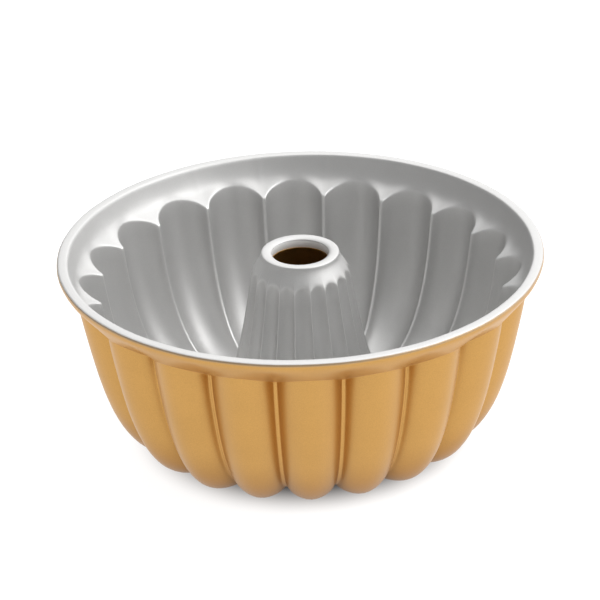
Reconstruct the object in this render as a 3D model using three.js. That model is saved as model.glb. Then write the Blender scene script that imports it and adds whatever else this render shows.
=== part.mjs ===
// Fluted ring cake pan: one thick aluminium casting with a grey non-stick lining and a gold outer coat.
// Millimetres, +Z up. The origin is at the centre of the circle of resting flats, under the pan.
import * as THREE from "three";

// Driving dimensions.
const RIM_RADIUS = 130;
const HEIGHT = 107.2;
const FLUTES = 20;
const COAT = 0.2; // thickness of each coating

const LIP_WIDTH = 5.6; // from the lip's outer edge to the start of its inner drop
const LIP_ROUND = 1.4; // rounding of the lip's outer edge
const BORE_RADIUS = 15.3;
const BORE_LENGTH = 5.4;
const BORE_CHAMFER = 0.7;
const TUBE_TOP_RADIUS = 21.2;
const TUBE_TOP_BAND = 3; // upright band under the tube's top edge
const TUBE_TOP_ROUND = 1.2; // rounding of the tube's top edge

// Flutes are circular arcs. Their depth is a fixed share of the radius they lie on, so they narrow to the middle.
const HALF_PITCH = Math.PI / FLUTES;
const INSIDE_HALF_ARC = THREE.MathUtils.degToRad(61.5);
const OUTSIDE_HALF_ARC = THREE.MathUtils.degToRad(56.5);
const INSIDE_DEPTH = Math.tan(INSIDE_HALF_ARC / 2) * Math.sin(HALF_PITCH);
const OUTSIDE_DEPTH = Math.tan(OUTSIDE_HALF_ARC / 2) * Math.sin(HALF_PITCH);

// Places across one flute, from ridge to ridge as -1 to 1. The ridge itself is a narrow flat.
const FLUTE_PLACES = [-0.92, -0.3, 0.3, 0.92];
const RIDGE_EDGE = 0.92;
const COLUMNS = FLUTES * FLUTE_PLACES.length;

const point = (radius, height) => new THREE.Vector2(radius, height);

// Inside, along the ridges between the flutes: down the wall, round the bottom and up the tube.
const SHELF_TOP = point(121.3, 99.4);
const SHELF_CUSP = point(107.9, 89.6);
const SHELF_APEX = point(118.6, 94.9);
const CHANNEL_FLOOR = point(66, 9.7);
const TUBE_FOOT = point(34.2, 49.6);
const SHOULDER_SPIKE = point(26.7, 94.5);
const SHOULDER_APEX = point(25.4, 96.9);
const insideWall = new THREE.CubicBezierCurve(SHELF_CUSP, point(104.6, 50.1), point(91.5, 9.7), CHANNEL_FLOOR);
const insideFoot = new THREE.CubicBezierCurve(CHANNEL_FLOOR, point(50, 9.7), point(38.5, 27), TUBE_FOOT);
const WALL_STEPS = [0.28, 0.52, 0.76]; // places of the rings along each curve
const FOOT_STEPS = [0, 0.35, 0.68, 1];

// Outside, along the crests of the lobes: down the wall to the resting flats, then up inside the hollow tube.
const BAND_CREST = point(122.9, 94.5);
const BAND_VALLEY = point(110.2, 87);
const REST_SHARE = 0.75; // the valleys are shallower where the lobes rest
const REST_OUTER = point(74, 0);
const REST_INNER = point(70, 0);
const HOLLOW_FOOT = point(28, 49);
const HOLLOW_TOP = point(19.2, 95);
const outsideWall = new THREE.CubicBezierCurve(BAND_CREST, point(115.1, 54.2), point(108.4, 0), REST_OUTER);
const underside = new THREE.CubicBezierCurve(REST_INNER, point(58, 0), point(33, 8), HOLLOW_FOOT);
const OUTSIDE_STEPS = [0.84, 0.66, 0.46, 0.22];
const FADE_STEP = 0.33; // under the tube the valleys fade out: half as deep here and gone after the next step
const FADE_SHARE = 0.5;
const SMOOTH_STEPS = [1, 0.66];

// A station is a point of the profile on a ridge or crest, with the way and the depth that a flute moves it.
function plainStation(radius, height) {
  return { at: point(radius, height), flute: point(0, 0), halfArc: INSIDE_HALF_ARC };
}

function edgeStation(from, to, halfArc) {
  return { at: from, flute: to.clone().sub(from), halfArc };
}

// Inside, a flute is cut from the ridge into the metal.
function insideStation(curve, t) {
  const at = curve.getPoint(t);
  const along = curve.getTangent(t);
  const flute = point(-along.y, along.x).multiplyScalar(INSIDE_DEPTH * at.x);
  return { at, flute, halfArc: INSIDE_HALF_ARC };
}

// Outside, the crest is the outermost point, so the station is moved to the valley and the lobe stands out of it.
function outsideStation(curve, t, share = 1) {
  const crest = curve.getPoint(t);
  const along = curve.getTangent(t);
  const flute = point(-along.y, along.x).multiplyScalar(OUTSIDE_DEPTH * crest.x * share);
  return { at: crest.clone().sub(flute), flute, halfArc: OUTSIDE_HALF_ARC };
}

// Where the pan rests, the middle facet of each lobe is flat and level.
function restStation(crest) {
  const depth = OUTSIDE_DEPTH * crest.x * REST_SHARE;
  const flute = point(0, -depth / fluteReach(FLUTE_PLACES[2], OUTSIDE_HALF_ARC));
  return { at: point(crest.x, crest.y + depth), flute, halfArc: OUTSIDE_HALF_ARC };
}

function liningStations() {
  return [
    plainStation(RIM_RADIUS, HEIGHT - LIP_ROUND),
    plainStation(RIM_RADIUS - LIP_ROUND, HEIGHT),
    plainStation(RIM_RADIUS - LIP_WIDTH, HEIGHT),
    plainStation(SHELF_TOP.x, SHELF_TOP.y),
    edgeStation(SHELF_CUSP, SHELF_APEX, INSIDE_HALF_ARC),
    ...WALL_STEPS.map((t) => insideStation(insideWall, t)),
    ...FOOT_STEPS.map((t) => insideStation(insideFoot, t)),
    edgeStation(SHOULDER_SPIKE, SHOULDER_APEX, INSIDE_HALF_ARC),
    plainStation(TUBE_TOP_RADIUS, HEIGHT - TUBE_TOP_BAND),
    plainStation(TUBE_TOP_RADIUS - TUBE_TOP_ROUND, HEIGHT),
    plainStation(BORE_RADIUS + BORE_CHAMFER, HEIGHT),
    plainStation(BORE_RADIUS, HEIGHT - BORE_CHAMFER),
  ];
}

function outerCoatStations() {
  return [
    plainStation(BORE_RADIUS, HEIGHT - BORE_LENGTH),
    plainStation(HOLLOW_TOP.x, HOLLOW_TOP.y),
    ...SMOOTH_STEPS.map((t) => outsideStation(underside, t, 0)),
    outsideStation(underside, FADE_STEP, FADE_SHARE),
    restStation(REST_INNER),
    restStation(REST_OUTER),
    ...OUTSIDE_STEPS.map((t) => outsideStation(outsideWall, t)),
    edgeStation(BAND_VALLEY, BAND_CREST, OUTSIDE_HALF_ARC),
    plainStation(RIM_RADIUS, HEIGHT - LIP_ROUND),
  ];
}

// How far a flute reaches at a place across it: 1 on its middle line and 0 on the ridge.
function fluteReach(place, halfArc) {
  const sine = (place / RIDGE_EDGE) * Math.sin(halfArc);
  return (Math.sqrt(1 - sine * sine) - Math.cos(halfArc)) / (1 - Math.cos(halfArc));
}

// One ring of points round the axis. A flute's middle line lies on +X.
function ringOf(station) {
  const ring = [];
  for (let flute = 0; flute < FLUTES; flute++) {
    for (const place of FLUTE_PLACES) {
      const angle = (2 * flute + place) * HALF_PITCH;
      const reach = fluteReach(place, station.halfArc);
      const radius = station.at.x + station.flute.x * reach;
      const height = station.at.y + station.flute.y * reach;
      ring.push(new THREE.Vector3(radius * Math.cos(angle), radius * Math.sin(angle), height));
    }
  }
  return ring;
}

// The rings moved inwards by the coat's thickness, square to the surface that they make together.
function ringsUnderCoat(rings) {
  const across = new THREE.Vector3();
  const along = new THREE.Vector3();
  return rings.map((ring, row) => {
    const before = rings[(row + rings.length - 1) % rings.length];
    const after = rings[(row + 1) % rings.length];
    return ring.map((vertex, column) => {
      across.subVectors(ring[(column + 1) % COLUMNS], ring[(column + COLUMNS - 1) % COLUMNS]);
      along.subVectors(after[column], before[column]);
      return vertex.clone().addScaledVector(across.cross(along).normalize(), -COAT);
    });
  });
}

// A closed solid whose skin runs through the rings in turn and back to the first.
// Each four-sided cell is split along its shorter diagonal, so two solids that share rings share faces too.
function fluted(rings) {
  const vertices = rings.flat();
  const index = [];
  rings.forEach((_, row) => {
    const nextRow = (row + 1) % rings.length;
    for (let column = 0; column < COLUMNS; column++) {
      const nextColumn = (column + 1) % COLUMNS;
      const cell = [[row, column], [row, nextColumn], [nextRow, nextColumn], [nextRow, column]];
      const [a, b, c, d] = cell.map(([ring, place]) => ring * COLUMNS + place);
      const splitAC = vertices[a].distanceTo(vertices[c]) < vertices[b].distanceTo(vertices[d]);
      index.push(...(splitAC ? [a, b, c, a, c, d] : [a, b, d, b, c, d]));
    }
  });
  const geometry = new THREE.BufferGeometry().setFromPoints(vertices).setIndex(index);
  geometry.computeVertexNormals();
  return geometry;
}

function subPart(name, rings, material) {
  const mesh = new THREE.Mesh(fluted(rings), new THREE.MeshStandardMaterial(material));
  mesh.name = name;
  return mesh;
}

// The coats meet at the lip's edge and leave the bore bare, so the whole profile is one loop of stations.
const lining = liningStations();
const outerCoat = outerCoatStations();
const surface = [...lining, ...outerCoat.slice(0, -1)].map(ringOf);
const metal = ringsUnderCoat(surface);
const boreRings = surface.slice(lining.length - 1, lining.length + 1);
const castingRings = [...metal.slice(0, lining.length), ...boreRings, ...metal.slice(lining.length)];

// Each coat is the space between the surface and the metal under it, so that it fits the casting exactly.
function coatRings(first, count) {
  const rows = Array.from({ length: count }, (_, step) => (first + step) % surface.length);
  return [...rows.map((row) => surface[row]), ...rows.map((row) => metal[row]).reverse()];
}

const pan = new THREE.Group();
pan.add(subPart("cast_body", castingRings, { color: 0xc4c5c6, roughness: 0.38, metalness: 1 }));
pan.add(subPart("nonstick_lining", coatRings(0, lining.length), { color: 0xa9a8a4, roughness: 0.45, metalness: 0.6 }));
pan.add(subPart("gold_outer_coat", coatRings(lining.length, outerCoat.length), { color: 0xcb9a55, roughness: 0.42, metalness: 0.6 }));

export default pan;
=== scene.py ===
import math

import bpy
from mathutils import Matrix, Vector


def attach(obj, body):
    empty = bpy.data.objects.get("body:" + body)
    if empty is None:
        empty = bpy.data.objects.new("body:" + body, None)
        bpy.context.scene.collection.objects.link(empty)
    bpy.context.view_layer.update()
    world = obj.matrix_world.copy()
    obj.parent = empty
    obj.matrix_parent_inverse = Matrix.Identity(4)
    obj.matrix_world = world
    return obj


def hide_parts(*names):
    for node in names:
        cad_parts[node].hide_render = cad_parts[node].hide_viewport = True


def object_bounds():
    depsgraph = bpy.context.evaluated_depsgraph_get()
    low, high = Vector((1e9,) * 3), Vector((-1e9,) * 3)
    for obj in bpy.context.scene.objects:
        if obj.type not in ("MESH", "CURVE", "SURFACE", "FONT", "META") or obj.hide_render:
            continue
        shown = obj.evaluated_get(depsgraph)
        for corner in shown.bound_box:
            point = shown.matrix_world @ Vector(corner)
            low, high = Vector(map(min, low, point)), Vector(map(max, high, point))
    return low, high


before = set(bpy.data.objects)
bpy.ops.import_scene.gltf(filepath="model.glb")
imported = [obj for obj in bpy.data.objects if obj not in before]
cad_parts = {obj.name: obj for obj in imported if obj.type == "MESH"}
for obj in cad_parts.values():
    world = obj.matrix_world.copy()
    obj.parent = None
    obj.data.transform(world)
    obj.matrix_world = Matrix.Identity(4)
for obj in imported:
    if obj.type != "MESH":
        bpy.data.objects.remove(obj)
cad_low, cad_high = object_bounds()

# ---------------------------------------------------------------------------------------------
# The casting. One thick pouring of aluminium: a fluted bowl, a flat lip and a hollow fluted tube.
# The coats hide all of it but the short bore at the top of the tube, which is machined after casting.
# Its skin is a cage of rings round the axis, and the lining and the gold coat use the same rings.
# ---------------------------------------------------------------------------------------------
FLUTES = 20
HALF_PITCH = math.pi / FLUTES
MM = 0.001
RIM = 130  # the rim's radius in the profiles below, which are scaled to the CAD's
rim_radius = cad_high.x / math.cos(0.3 * HALF_PITCH)  # the CAD rim is a polygon with a corner here
rim_height = cad_high.z
LIP_RISE = 0.83 * MM  # the lip stands this much above the tube's top, where the drops below start
COAT = 0.2 * MM

# Places across one flute, from ridge to ridge as -1 to 1, with how far the cage reaches into the flute
# there. Smoothed, the reaches give the arc of the flute and a narrow rounded ridge.
RIDGE = -1.0
INSIDE_CUT = (
    (RIDGE, 0.045), (-0.952, -0.077), (-0.789, 0.567), (0.0, 1.229), (0.789, 0.567), (0.952, -0.077))
OUTSIDE_CUT = (
    (RIDGE, 0.047), (-0.936, -0.08), (-0.772, 0.55), (0.0, 1.238), (0.772, 0.55), (0.936, -0.08))

# A flute's depth is that of a circular arc, as a share of the radius that it lies on.
INSIDE_HALF_ARC = math.radians(61.5)
OUTSIDE_HALF_ARC = math.radians(56.5)
INSIDE_DEPTH = math.tan(INSIDE_HALF_ARC / 2) * math.sin(HALF_PITCH)
OUTSIDE_DEPTH = math.tan(OUTSIDE_HALF_ARC / 2) * math.sin(HALF_PITCH)

# The shelf under the lip is a cone that steepens as it nears the lip. Its drop is worked out from these.
CUSP_RADIUS, CUSP_DROP = 107.2, 17.9
SHELF_SLOPE = 0.44
STEEP_RADIUS, STEEPENING = 117.6, 0.33
WAVE_LEFT = 0.7  # the share of a gentle wave round the shelf that smoothing leaves

# A station is one ring: a function that gives its radius and rise at a place across a flute, then how strong
# a painted highlight the film gets all along the ring, and how strong it is where the ring crosses a ridge.


def plain(radius, drop):
    """A round ring of the profile. Millimetres, with the drop measured down from the tube's top."""
    def at(place, reach):
        return radius, -drop
    return at, 0.0, 0.0


def edge(ridge, middle, painted_highlight=0.0):
    """A ring that swings between a ridge point and a mid-flute point, each as radius and drop, with the
    strength of a painted highlight along it.
    """
    (radius, drop), (to_radius, to_drop) = ridge, middle

    def at(place, reach):
        return radius + (to_radius - radius) * reach, -drop - (to_drop - drop) * reach
    return at, painted_highlight, 1.0


def shelf(ridge_radius, middle_radius, gently=False):
    """A ring on the shelf under the lip. A gentle one swings as a wave and the others as the flutes do."""
    def on_shelf(radius):
        rise = (radius - CUSP_RADIUS) * SHELF_SLOPE + max(0.0, radius - STEEP_RADIUS) ** 2 * STEEPENING
        return Vector((radius, rise - CUSP_DROP))

    ridge, middle = on_shelf(ridge_radius), on_shelf(middle_radius)

    def at(place, reach):
        share = (0.5 + 0.5 * math.cos(math.pi * place)) / WAVE_LEFT if gently else reach
        return tuple(ridge.lerp(middle, share))
    return at, 0.0, 0.0


def bend(ends, t):
    """A point, its direction and its curving on a cubic curve through radius and drop points."""
    a, b, c, d = (Vector((r, -drop)) for r, drop in ends)
    s = 1 - t
    at = s**3 * a + 3 * s * s * t * b + 3 * s * t * t * c + t**3 * d
    along = 3 * (s * s * (b - a) + 2 * s * t * (c - b) + t * t * (d - c))
    curving = 6 * (s * (c - 2 * b + a) + t * (d - 2 * c + b))
    return at, along.normalized(), curving


def fluted(ends, t, step, depth):
    """A ring across the flutes. The cage stands off the curve by what smoothing will take back."""
    at, along, curving = bend(ends, t)
    at = at - curving * step * step / 6
    into = Vector((-along.y, along.x)) * depth * at.x
    return lambda place, reach: tuple(at + into * reach), 0.0, 1.0


# The lining's rings, from the lip's outer edge over the lip and the shelf, down the wall, round the bottom,
# up the tube over its scalloped shoulder and into the bore. The two curves follow the ridges.
WALL = ((108.1, 17.5), (104.6, 57.1), (91.5, 97.5), (66.0, 97.5))
FOOT = ((66.0, 97.5), (50.0, 97.5), (38.5, 80.2), (34.2, 57.6))
inside_rings = [
    plain(129.5, -0.4),
    plain(129.1, -0.72),
    plain(128.2, -0.83),
    plain(125.1, -0.82),
    plain(124.1, -0.5),
    plain(123.3, 2.0),
    plain(121.6, 6.8),
    shelf(119.0, 120.6, gently=True),
    shelf(115.0, 119.9, gently=True),
    shelf(109.4, 119.2),
    edge((107.8, 17.9), (118.7, 12.5), painted_highlight=0.7),
    edge((107.7, 19.8), (118.2, 14.8)),
    fluted(WALL, 0.32, 0.32, INSIDE_DEPTH),
    fluted(WALL, 0.65, 0.33, INSIDE_DEPTH),
    fluted(WALL, 1.0, 0.3, INSIDE_DEPTH),
    fluted(FOOT, 0.5, 0.5, INSIDE_DEPTH),
    fluted(FOOT, 1.0, 0.2, INSIDE_DEPTH),
    edge((27.1, 16.2), (24.8, 14.6)),
    edge((26.8, 12.8), (25.4, 10.3), painted_highlight=1.0),
    edge((26.3, 11.0), (24.9, 8.8)),
    plain(22.8, 5.4),
    plain(21.2, 2.4),
    plain(21.0, 0.5),
    plain(20.5, -0.03),
    plain(16.5, -0.03),
    plain(15.3, 0.9),
]

# The gold coat's rings, from the bore down inside the hollow tube, under the lobes and up the wall to the
# lip. The two curves follow the lobes' crests.
OUTER_WALL = ((122.9, 12.7), (115.1, 53.0), (108.4, 107.2), (72.0, 107.2))
UNDERSIDE = ((72.0, 107.2), (58.0, 107.2), (33.0, 99.2), (28.0, 58.2))


def lobed(ends, t, step, depth):
    """A ring across the lobes, whose crests lie on the curve and whose valleys lie in from it."""
    along_curve = fluted(ends, t, step, depth)[0]
    crest = Vector(along_curve(0, 0.0))
    into = Vector(along_curve(0, 1.0)) - crest
    return lambda place, reach: tuple(crest - into * (1 - reach)), 0.0, depth / OUTSIDE_DEPTH


outside_rings = [
    plain(15.3, 5.4),
    plain(17.0, 7.6),
    plain(19.2, 12.2),
    lobed(UNDERSIDE, 1.0, 0.0, 0.0),
    lobed(UNDERSIDE, 0.72, 0.28, 0.0),
    lobed(UNDERSIDE, 0.46, 0.26, OUTSIDE_DEPTH * 0.3),
    lobed(UNDERSIDE, 0.22, 0.24, OUTSIDE_DEPTH * 0.6),
    lobed(UNDERSIDE, 0.0, 0.2, OUTSIDE_DEPTH * 0.8),
    lobed(OUTER_WALL, 0.84, 0.16, OUTSIDE_DEPTH),
    lobed(OUTER_WALL, 0.68, 0.17, OUTSIDE_DEPTH),
    lobed(OUTER_WALL, 0.51, 0.17, OUTSIDE_DEPTH),
    lobed(OUTER_WALL, 0.34, 0.17, OUTSIDE_DEPTH),
    lobed(OUTER_WALL, 0.17, 0.17, OUTSIDE_DEPTH),
    edge((110.0, 21.3), (122.9, 13.7)),
    edge((109.9, 20.2), (122.4, 12.7)),
    edge((110.8, 19.4), (123.2, 12.1)),
    plain(127.6, 6.2),
    plain(129.9, 2.3),
    plain(130.06, 0.4),
    plain(129.5, -0.4),
]


def ring_of(station, cut):
    """One closed ring of cage points. A flute's middle line lies on +X."""
    ring = []
    for flute in range(FLUTES):
        for step, (place, reach) in enumerate(cut):
            before = cut[step - 1][0] - (2 if step == 0 else 0)
            after = cut[step + 1][0] if step + 1 < len(cut) else 1.0
            # smoothing pulls a ring inwards, so the cage is swollen by as much
            swell = 6 / (4 + math.cos((place - before) * HALF_PITCH) + math.cos((after - place) * HALF_PITCH))
            angle = (2 * flute + place) * HALF_PITCH
            radius, rise = station[0](place, reach)
            radius *= swell * rim_radius / RIM
            # the profile's lip is higher than the CAD's, so heights are squeezed by as much
            height = (rim_height + rise * MM) * rim_height / (rim_height + LIP_RISE)
            ring.append(Vector((radius * math.cos(angle), radius * math.sin(angle), height)))
    return ring


def cage(name, stations, closed):
    """A mesh whose rows are the stations' rings, each with its cut, joined back to the first if closed."""
    rings = [ring_of(station, cut) for station, cut in stations]
    columns = len(rings[0])
    rows = len(rings) if closed else len(rings) - 1
    faces = []
    for row in range(rows):
        here, below = row * columns, (row + 1) % len(rings) * columns
        for column in range(columns):
            after = (column + 1) % columns
            faces.append((here + column, here + after, below + after, below + column))
    mesh = bpy.data.meshes.new(name)
    mesh.from_pydata([point for ring in rings for point in ring], [], faces)
    mesh.shade_smooth()
    # Painted highlight: how much each point's colour is lightened. It is bright along ridges, arch edges and
    # the lobes' valley floors.
    highlight_amounts = []
    for (_, along_ring, on_ridge), cut in stations:
        highlight_amounts += [max(along_ring, on_ridge) if place == RIDGE else along_ring for place, _ in cut] * FLUTES
    mesh.attributes.new("painted_highlight", "FLOAT", "POINT").data.foreach_set("value", highlight_amounts)
    piece = bpy.data.objects.new(name, mesh)
    bpy.context.scene.collection.objects.link(piece)
    smooth = piece.modifiers.new("smooth", "SUBSURF")
    smooth.levels = smooth.render_levels = 2
    return piece


class Tone:
    """A shader socket that takes part in Python sums. node() adds any node that isn't plain maths."""

    def __init__(self, tree, socket=None):
        self.tree = tree
        self.socket = socket

    def node(self, kind, settings, inputs, output=0):
        made = self.tree.nodes.new("ShaderNode" + kind)
        for name, value in settings.items():
            setattr(made, name, value)
        for name, value in inputs.items():
            if isinstance(value, Tone):
                self.tree.links.new(value.socket, made.inputs[name])
            else:
                made.inputs[name].default_value = value
        return Tone(self.tree, made.outputs[output])

    def sum(self, operation, *terms):
        return self.node("Math", {"operation": operation}, dict(enumerate(terms)))

    def __add__(self, other):
        return self.sum("ADD", self, other)

    def __radd__(self, other):
        return self.sum("ADD", other, self)

    def __sub__(self, other):
        return self.sum("SUBTRACT", self, other)

    def __rsub__(self, other):
        return self.sum("SUBTRACT", other, self)

    def __mul__(self, other):
        return self.sum("MULTIPLY", self, other)

    def __rmul__(self, other):
        return self.sum("MULTIPLY", other, self)


def mix(tone, share, start, end, blend="MIX"):
    """One colour taken towards another by a share, or multiplied by it."""
    return tone.node("Mix", {"data_type": "RGBA", "blend_type": blend}, {0: share, 6: start, 7: end}, 2)


def ramp(tone, value, start, end, low, high, way="SMOOTHSTEP"):
    """A value's run from start to end, turned into a run from low to high and held there beyond its ends."""
    return tone.node("MapRange", {"interpolation_type": way}, {0: value, 1: start, 2: end, 3: low, 4: high})


def new_finish(name):
    """An empty material with its surface node, and a tone to start its shader from."""
    finish = bpy.data.materials.new(name)
    finish.use_nodes = True
    return finish, finish.node_tree.nodes["Principled BSDF"], Tone(finish.node_tree)


def feed(surface, **links):
    """Sets or links the surface's sockets, named with _ for a space."""
    for name, value in links.items():
        socket = surface.inputs[name.replace("_", " ")]
        if isinstance(value, Tone):
            value.tree.links.new(value.socket, socket)
        else:
            socket.default_value = value


inside = [(ring, INSIDE_CUT) for ring in inside_rings]
outside = [(ring, OUTSIDE_CUT) for ring in outside_rings]
casting = cage("casting", inside + outside[:-1], True)
under_coat = casting.vertex_groups.new(name="under_coat")
per_ring = FLUTES * len(INSIDE_CUT)
bore_start = (len(inside_rings) - 1) * per_ring
bore_end = bore_start + 2 * per_ring
coated = [v for v in range(len(casting.data.vertices)) if not bore_start <= v < bore_end]
under_coat.add(coated, 1.0, "REPLACE")
shrink = casting.modifiers.new("room_for_coats", "DISPLACE")
shrink.mid_level = 0
shrink.strength = -1.25 * COAT  # a little more than the coats fill, so that no faces coincide
shrink.vertex_group = "under_coat"

bare_metal, surface, tone = new_finish("bare_aluminium")
where = tone.node("TexCoord", {}, {}, 3)
lines = tone.node("Mapping", {}, {"Vector": where, "Scale": (60.0, 60.0, 9000.0)})
turning = tone.node("TexNoise", {}, {"Vector": lines, "Scale": 1.0, "Detail": 2.0})
grooves = tone.node("Bump", {}, {"Height": turning, "Strength": 0.5, "Distance": 0.04 * MM})
feed(surface, Base_Color=(0.95, 0.94, 0.92, 1), Metallic=0.3, Roughness=0.40 + turning * 0.25, Normal=grooves)
casting.data.materials.append(bare_metal)
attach(casting, "root")
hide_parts("cast_body")

# ---------------------------------------------------------------------------------------------
# The lining. A grey non-stick film, sprayed on and baked, from the lip's outer edge over the whole
# inside to the edge of the bore. Fine metallic pigment gives it a satin sparkle.
# ---------------------------------------------------------------------------------------------
lining = cage("lining", inside, False)
film = lining.modifiers.new("film", "SOLIDIFY")
film.thickness = COAT
film.offset = -1

grey_film, surface, tone = new_finish("grey_nonstick")
where = tone.node("TexCoord", {}, {}, 3)
specks = tone.node("TexNoise", {}, {"Vector": where, "Scale": 2600.0, "Detail": 2.0})
clouds = tone.node("TexNoise", {}, {"Vector": where, "Scale": 45.0, "Detail": 3.0})
edge_highlight = tone.node("Attribute", {"attribute_name": "painted_highlight"}, {}, 2)
# Painted highlight: the film's colour is lightened along the ridges and arch edges. Specks and clouds are its
# own random tone.
tone_and_highlight = 0.86 + specks * 0.2 + clouds * 0.08 + edge_highlight * 0.22
colour = mix(tone, 1.0, (0.60, 0.597, 0.59, 1), tone_and_highlight, "MULTIPLY")
grain = tone.node("Bump", {}, {"Height": specks, "Strength": 0.35, "Distance": 0.05 * MM})
feed(surface, Base_Color=colour, Metallic=0.8, Roughness=0.47 + specks * 0.08 - edge_highlight * 0.1, Normal=grain)
lining.data.materials.append(grey_film)
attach(lining, "root")
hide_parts("nonstick_lining")

# ---------------------------------------------------------------------------------------------
# The gold coat. A baked enamel with gold pigment, sprayed over the whole outside and the inside of
# the hollow tube. It meets the lining just under the lip's rounded edge.
# ---------------------------------------------------------------------------------------------
gold = cage("gold_coat", outside, False)
film = gold.modifiers.new("film", "SOLIDIFY")
film.thickness = COAT
film.offset = -1

gold_film, surface, tone = new_finish("gold_enamel")
where = tone.node("TexCoord", {}, {}, 3)
specks = tone.node("TexNoise", {}, {"Vector": where, "Scale": 1900.0, "Detail": 3.0})
clouds = tone.node("TexNoise", {}, {"Vector": where, "Scale": 60.0, "Detail": 3.0})
edge_highlight = tone.node("Attribute", {"attribute_name": "painted_highlight"}, {}, 2)
above_floor = tone.node("SeparateXYZ", {}, {0: where}, 2)
# Painted shade: the gold turns darker and browner over the lowest 40 mm, where the lobes' lower edges face
# the floor's shadow.
out_of_painted_shade = ramp(tone, above_floor, 0.0, 40 * MM, 0.0, 1.0)
# Painted shade: the gold turns a greyish tan in the last two millimetres under the rim.
rim_shade_share = ramp(tone, above_floor, rim_height - 2.0 * MM, rim_height - 0.6 * MM, 0.0, 1.0, "LINEAR")
# Painted highlight: a light line along the lobes' valley floors. Specks and clouds are the enamel's own
# random tone.
tone_and_highlight = 0.78 + specks * 0.34 + clouds * 0.1 + edge_highlight * 0.08
SHADED_GOLD = (0.34, 0.155, 0.03, 1)
GOLD = (0.545, 0.302, 0.083, 1)
RIM_SHADE_GOLD = (0.45, 0.34, 0.23, 1)  # painted shade: a greyish tan at the lip's edge, standing in for its shaded rounding
gold_tone = mix(tone, out_of_painted_shade, SHADED_GOLD, GOLD)
gold_tone = mix(tone, rim_shade_share, gold_tone, RIM_SHADE_GOLD)
colour = mix(tone, 1.0, gold_tone, tone_and_highlight, "MULTIPLY")
peel = tone.node("TexNoise", {}, {"Vector": where, "Scale": 700.0, "Detail": 2.0})
grain = tone.node("Bump", {}, {"Height": peel + specks * 0.5, "Strength": 0.3, "Distance": 0.08 * MM})
feed(surface, Base_Color=colour, Metallic=0.95, Roughness=0.40 + specks * 0.08, Normal=grain,
     Coat_Weight=0.28, Coat_Roughness=0.3)
gold.data.materials.append(gold_film)
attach(gold, "root")
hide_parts("gold_outer_coat")

# ---------------------------------------------------------------------------------------------
# The studio: a plain floor that glows white, a soft key at the right, and a white room that is brightest at
# the back right and overhead. Right under the pan the floor doesn't glow: a painted shadow, so the hollow
# tube stays dark.
# ---------------------------------------------------------------------------------------------
FLOOR_REACH = 6
floor_mesh = bpy.data.meshes.new("floor")
corners = [(x * FLOOR_REACH, y * FLOOR_REACH, 0) for x, y in ((-1, -1), (1, -1), (1, 1), (-1, 1))]
floor_mesh.from_pydata(corners, [], [(0, 1, 2, 3)])
floor = bpy.data.objects.new("floor", floor_mesh)
bpy.context.scene.collection.objects.link(floor)
floor_paint, surface, tone = new_finish("floor_paint")
where = tone.node("TexCoord", {}, {}, 3)
out = tone.node("VectorMath", {"operation": "LENGTH"}, {0: where}, 1)
# Painted shadow: the floor's glow fades to nothing between 98 and 62 mm from the axis, under the pan.
glow_outside_painted_shadow = ramp(tone, out, 62 * MM, 98 * MM, 0.0, 1.0)
glow_outside_painted_shadow = tone.node("CombineColor", {}, {0: glow_outside_painted_shadow, 1: glow_outside_painted_shadow, 2: glow_outside_painted_shadow})
feed(surface, Base_Color=(0.25, 0.25, 0.25, 1), Roughness=0.9, Emission_Color=glow_outside_painted_shadow, Emission_Strength=0.93)
floor_mesh.materials.append(floor_paint)


def softbox(name, aim, place, size, power):
    """A rectangular area light that faces a point of the pan."""
    lamp = bpy.data.lights.new(name, "AREA")
    lamp.shape = "RECTANGLE"
    lamp.size, lamp.size_y = size
    lamp.energy = power
    box = bpy.data.objects.new(name, lamp)
    turn = (Vector(place) - Vector(aim)).to_track_quat("Z", "Y").to_matrix().to_4x4()
    box.matrix_world = Matrix.Translation(place) @ turn
    bpy.context.scene.collection.objects.link(box)


softbox("key", aim=(-0.05, 0, 0.05), place=(0.95, -0.35, 1.0), size=(1.2, 1.2), power=10)

room = bpy.data.worlds.new("room")
bpy.context.scene.world = room
room.use_nodes = True
tone = Tone(room.node_tree)
way = tone.node("TexCoord", {}, {}, 0)
back_right = tone.node("VectorMath", {"operation": "DOT_PRODUCT"}, {0: way, 1: (0.60, 0.65, 0.47)}, 1)
overhead = tone.node("VectorMath", {"operation": "DOT_PRODUCT"}, {0: way, 1: (0.0, 0.34, 0.94)}, 1)
backdrop = ramp(tone, back_right, 0.45, 0.85, 0.40, 1.5) + ramp(tone, overhead, 0.65, 1.0, 0.0, 0.9)
sky = room.node_tree.nodes["Background"]
sky.inputs["Color"].default_value = (1, 1, 1, 1)
room.node_tree.links.new(backdrop.socket, sky.inputs["Strength"])

# ---------------------------------------------------------------------------------------------
# The camera, twelve rim radii off and looking down at the pan from its front, very slightly rolled.
# ---------------------------------------------------------------------------------------------
DISTANCE = 12 * rim_radius
ROLL = math.radians(-1.748)
elevation = math.radians(25.962)
azimuth = math.radians(181.434)
lens = bpy.data.cameras.new("camera")
lens.lens = 175.24
lens.sensor_width = 36
camera = bpy.data.objects.new("camera", lens)
stand = Vector((DISTANCE * math.cos(elevation) * math.sin(azimuth),
                DISTANCE * math.cos(elevation) * math.cos(azimuth),
                rim_height - 0.5 * MM + DISTANCE * math.sin(elevation)))
target = Vector((-0.0008, 0, 0.0770))
aim = (stand - target).to_track_quat("Z", "Y").to_matrix().to_4x4()
camera.matrix_world = Matrix.Translation(stand) @ aim @ Matrix.Rotation(ROLL, 4, "Z")
bpy.context.scene.collection.objects.link(camera)
bpy.context.scene.camera = camera
lens.clip_start, lens.clip_end = 0.01, 50
bpy.context.scene.view_settings.view_transform = "Standard"
